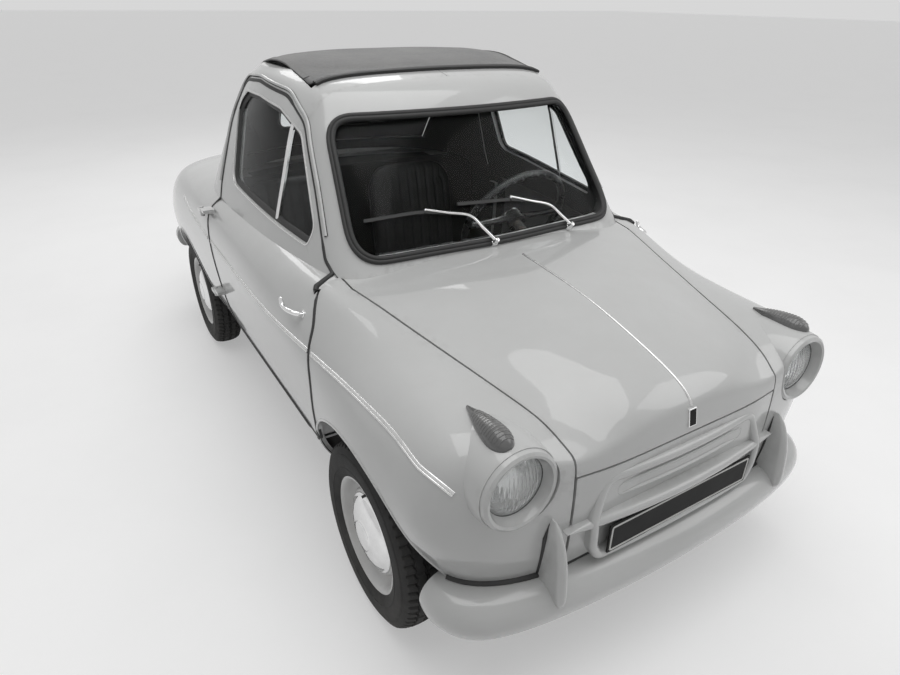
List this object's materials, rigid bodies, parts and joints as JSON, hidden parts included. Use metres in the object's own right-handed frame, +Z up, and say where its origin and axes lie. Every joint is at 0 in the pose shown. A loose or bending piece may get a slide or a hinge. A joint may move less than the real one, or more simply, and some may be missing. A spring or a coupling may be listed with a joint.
{
  "type": "microcar",
  "caption": "Two-seat family microcar with a roll-back fabric roof, rear-hinged doors, a sloping rear engine lid and small disc wheels",
  "frame": {"origin": "on the floor under the middle of the car", "axes": "+Z is up, the car faces -Y, +X is the car's left side"},
  "size_m": [1.296, 2.8326, 1.2539],
  "materials": {
    "body_paint": "gloss",
    "under_paint": "satin",
    "roof_fabric": "woven",
    "clear_glass": "clear",
    "bright_trim": "polished",
    "lamp_plastic": "moulded",
    "plate_black": "satin",
    "seat_fabric": "grained",
    "dark_steel": "satin",
    "dash_paint": "satin",
    "wheel_plastic": "moulded",
    "tyre_rubber": "moulded",
    "rim_paint": "gloss",
    "engine_metal": "cast",
    "seal_rubber": "moulded"
  },
  "bodies": {
    "body": {"body_hinges": "body_paint", "bonnet_panel": "body_paint", "bumper_guards": "body_paint", "dashboard": "dash_paint", "door_posts": "body_paint", "engine_block": "engine_metal", "fabric_roof": "roof_fabric", "floor_pan": "under_paint", "front_bulkhead": "body_paint", "front_bumper": "body_paint", "front_suspension": "dark_steel", "front_tub": "under_paint", "front_wing_l": "body_paint", "front_wing_r": "body_paint", "headlamp_lenses": "clear_glass", "headlamp_rims": "body_paint", "nose_panel": "body_paint", "nose_ring": "body_paint", "plate_front": "plate_black", "rear_bulkhead": "body_paint", "rear_bumper": "body_paint", "rear_deck": "body_paint", "rear_quarter_l": "body_paint", "rear_quarter_r": "body_paint", "rear_rails": "under_paint", "rear_suspension": "dark_steel", "rear_wheelhouses": "under_paint", "rear_window": "clear_glass", "screen_seal": "seal_rubber", "screen_surround": "body_paint", "seat_frames": "dark_steel", "seats": "seat_fabric", "steering_column": "dark_steel", "tail_lamps": "lamp_plastic", "tail_panel": "body_paint", "turn_signals": "lamp_plastic", "windscreen": "clear_glass", "wipers": "bright_trim"},
    "left_door": {"door_l": "body_paint", "door_glass_l": "clear_glass", "door_hinges_l": "body_paint", "door_handle_l": "bright_trim"},
    "right_door": {"door_r": "body_paint", "door_glass_r": "clear_glass", "door_hinges_r": "body_paint", "door_handle_r": "bright_trim"},
    "engine_cover": {"engine_lid": "body_paint", "lid_hinges": "body_paint", "plate_rear": "plate_black"},
    "left_knuckle": {"knuckle_l": "dark_steel"},
    "right_knuckle": {"knuckle_r": "dark_steel"},
    "steering": {"steering_wheel": "wheel_plastic"},
    "front_left_wheel": {"tyre_fl": "tyre_rubber", "rim_fl": "rim_paint"},
    "front_right_wheel": {"tyre_fr": "tyre_rubber", "rim_fr": "rim_paint"},
    "rear_left_wheel": {"tyre_rl": "tyre_rubber", "rim_rl": "rim_paint"},
    "rear_right_wheel": {"tyre_rr": "tyre_rubber", "rim_rr": "rim_paint"}
  },
  "joints": [
    {"name": "left_door_hinge", "type": "hinge", "parent": "body", "child": "left_door", "pos_m": [0.641, 0.196, 0.61], "axis": [0, 0, 1], "range_deg": [0, 65]},
    {"name": "right_door_hinge", "type": "hinge", "parent": "body", "child": "right_door", "pos_m": [-0.641, 0.196, 0.61], "axis": [0, 0, -1], "range_deg": [0, 65]},
    {"name": "engine_lid_hinge", "type": "hinge", "parent": "body", "child": "engine_cover", "pos_m": [0, 0.643, 0.843], "axis": [1, 0, 0], "range_deg": [0, 55]},
    {"name": "left_steer", "type": "hinge", "parent": "body", "child": "left_knuckle", "pos_m": [0.465, -0.95, 0.24], "axis": [0, 0, 1], "range_deg": [-28, 28]},
    {"name": "right_steer", "type": "hinge", "parent": "body", "child": "right_knuckle", "pos_m": [-0.465, -0.95, 0.24], "axis": [0, 0, 1], "range_deg": [-28, 28]},
    {"name": "steering_turn", "type": "hinge", "parent": "body", "child": "steering", "pos_m": [0.265, -0.35, 0.742], "axis": [0, 0.8944, 0.4472], "range_deg": [-420, 420]},
    {"name": "front_left_spin", "type": "hinge", "parent": "left_knuckle", "child": "front_left_wheel", "pos_m": [0.55, -0.95, 0.24], "axis": [1, 0, 0], "continuous": true},
    {"name": "front_right_spin", "type": "hinge", "parent": "right_knuckle", "child": "front_right_wheel", "pos_m": [-0.55, -0.95, 0.24], "axis": [1, 0, 0], "continuous": true},
    {"name": "rear_left_spin", "type": "hinge", "parent": "body", "child": "rear_left_wheel", "pos_m": [0.55, 0.743, 0.24], "axis": [1, 0, 0], "continuous": true},
    {"name": "rear_right_spin", "type": "hinge", "parent": "body", "child": "rear_right_wheel", "pos_m": [-0.55, 0.743, 0.24], "axis": [1, 0, 0], "continuous": true}
  ],
  "couplings": [
    {"joint": "right_steer", "follows": "left_steer", "ratio": 1},
    {"joint": "steering_turn", "follows": "left_steer", "ratio": 15}
  ]
}
